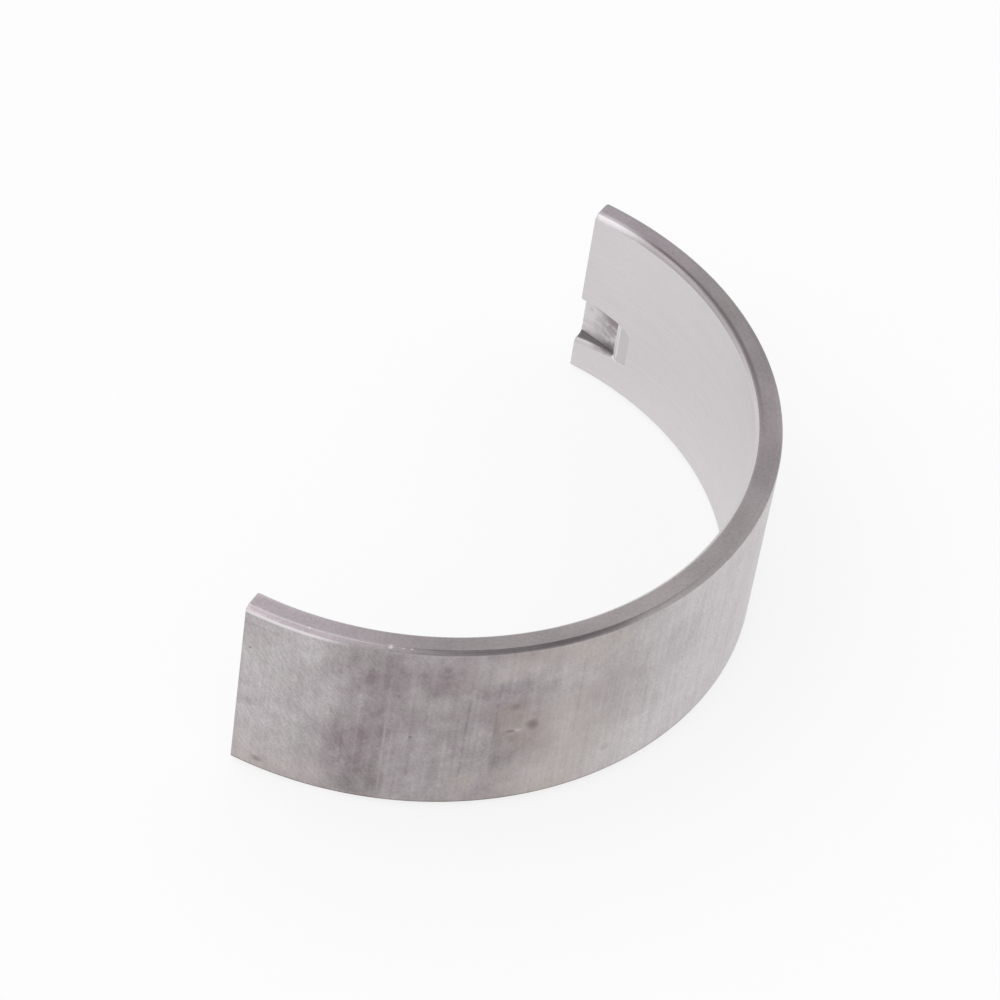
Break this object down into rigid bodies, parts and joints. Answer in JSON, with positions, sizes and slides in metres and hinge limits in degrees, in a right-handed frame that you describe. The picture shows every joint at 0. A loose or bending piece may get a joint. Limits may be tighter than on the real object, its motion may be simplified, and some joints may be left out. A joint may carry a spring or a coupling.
{
  "type": "engine bearing shell",
  "caption": "Half-round engine bearing shell: plain lined steel strip with chamfered side edges and a pressed-out locating tang at one parting face.",
  "frame": {"origin": "middle of the bounding box, on the resting side face; the journal's axis is parallel to Z at X = 0.50 mm, Y = -15.98 mm", "axes": "+Z along the journal's axis, out of the upper side face; +Y towards the crown of the arc; -Y out of the parting faces; the tang is at the -X end, nearer the resting side face"},
  "size_m": [0.0632, 0.0302, 0.019],
  "materials": {
    "bearing_steel": "fine-ground grey metal, satin, with a smooth matt bore lining"
  },
  "bodies": {
    "root": {"bearing_shell": "bearing_steel"}
  },
  "joints": []
}
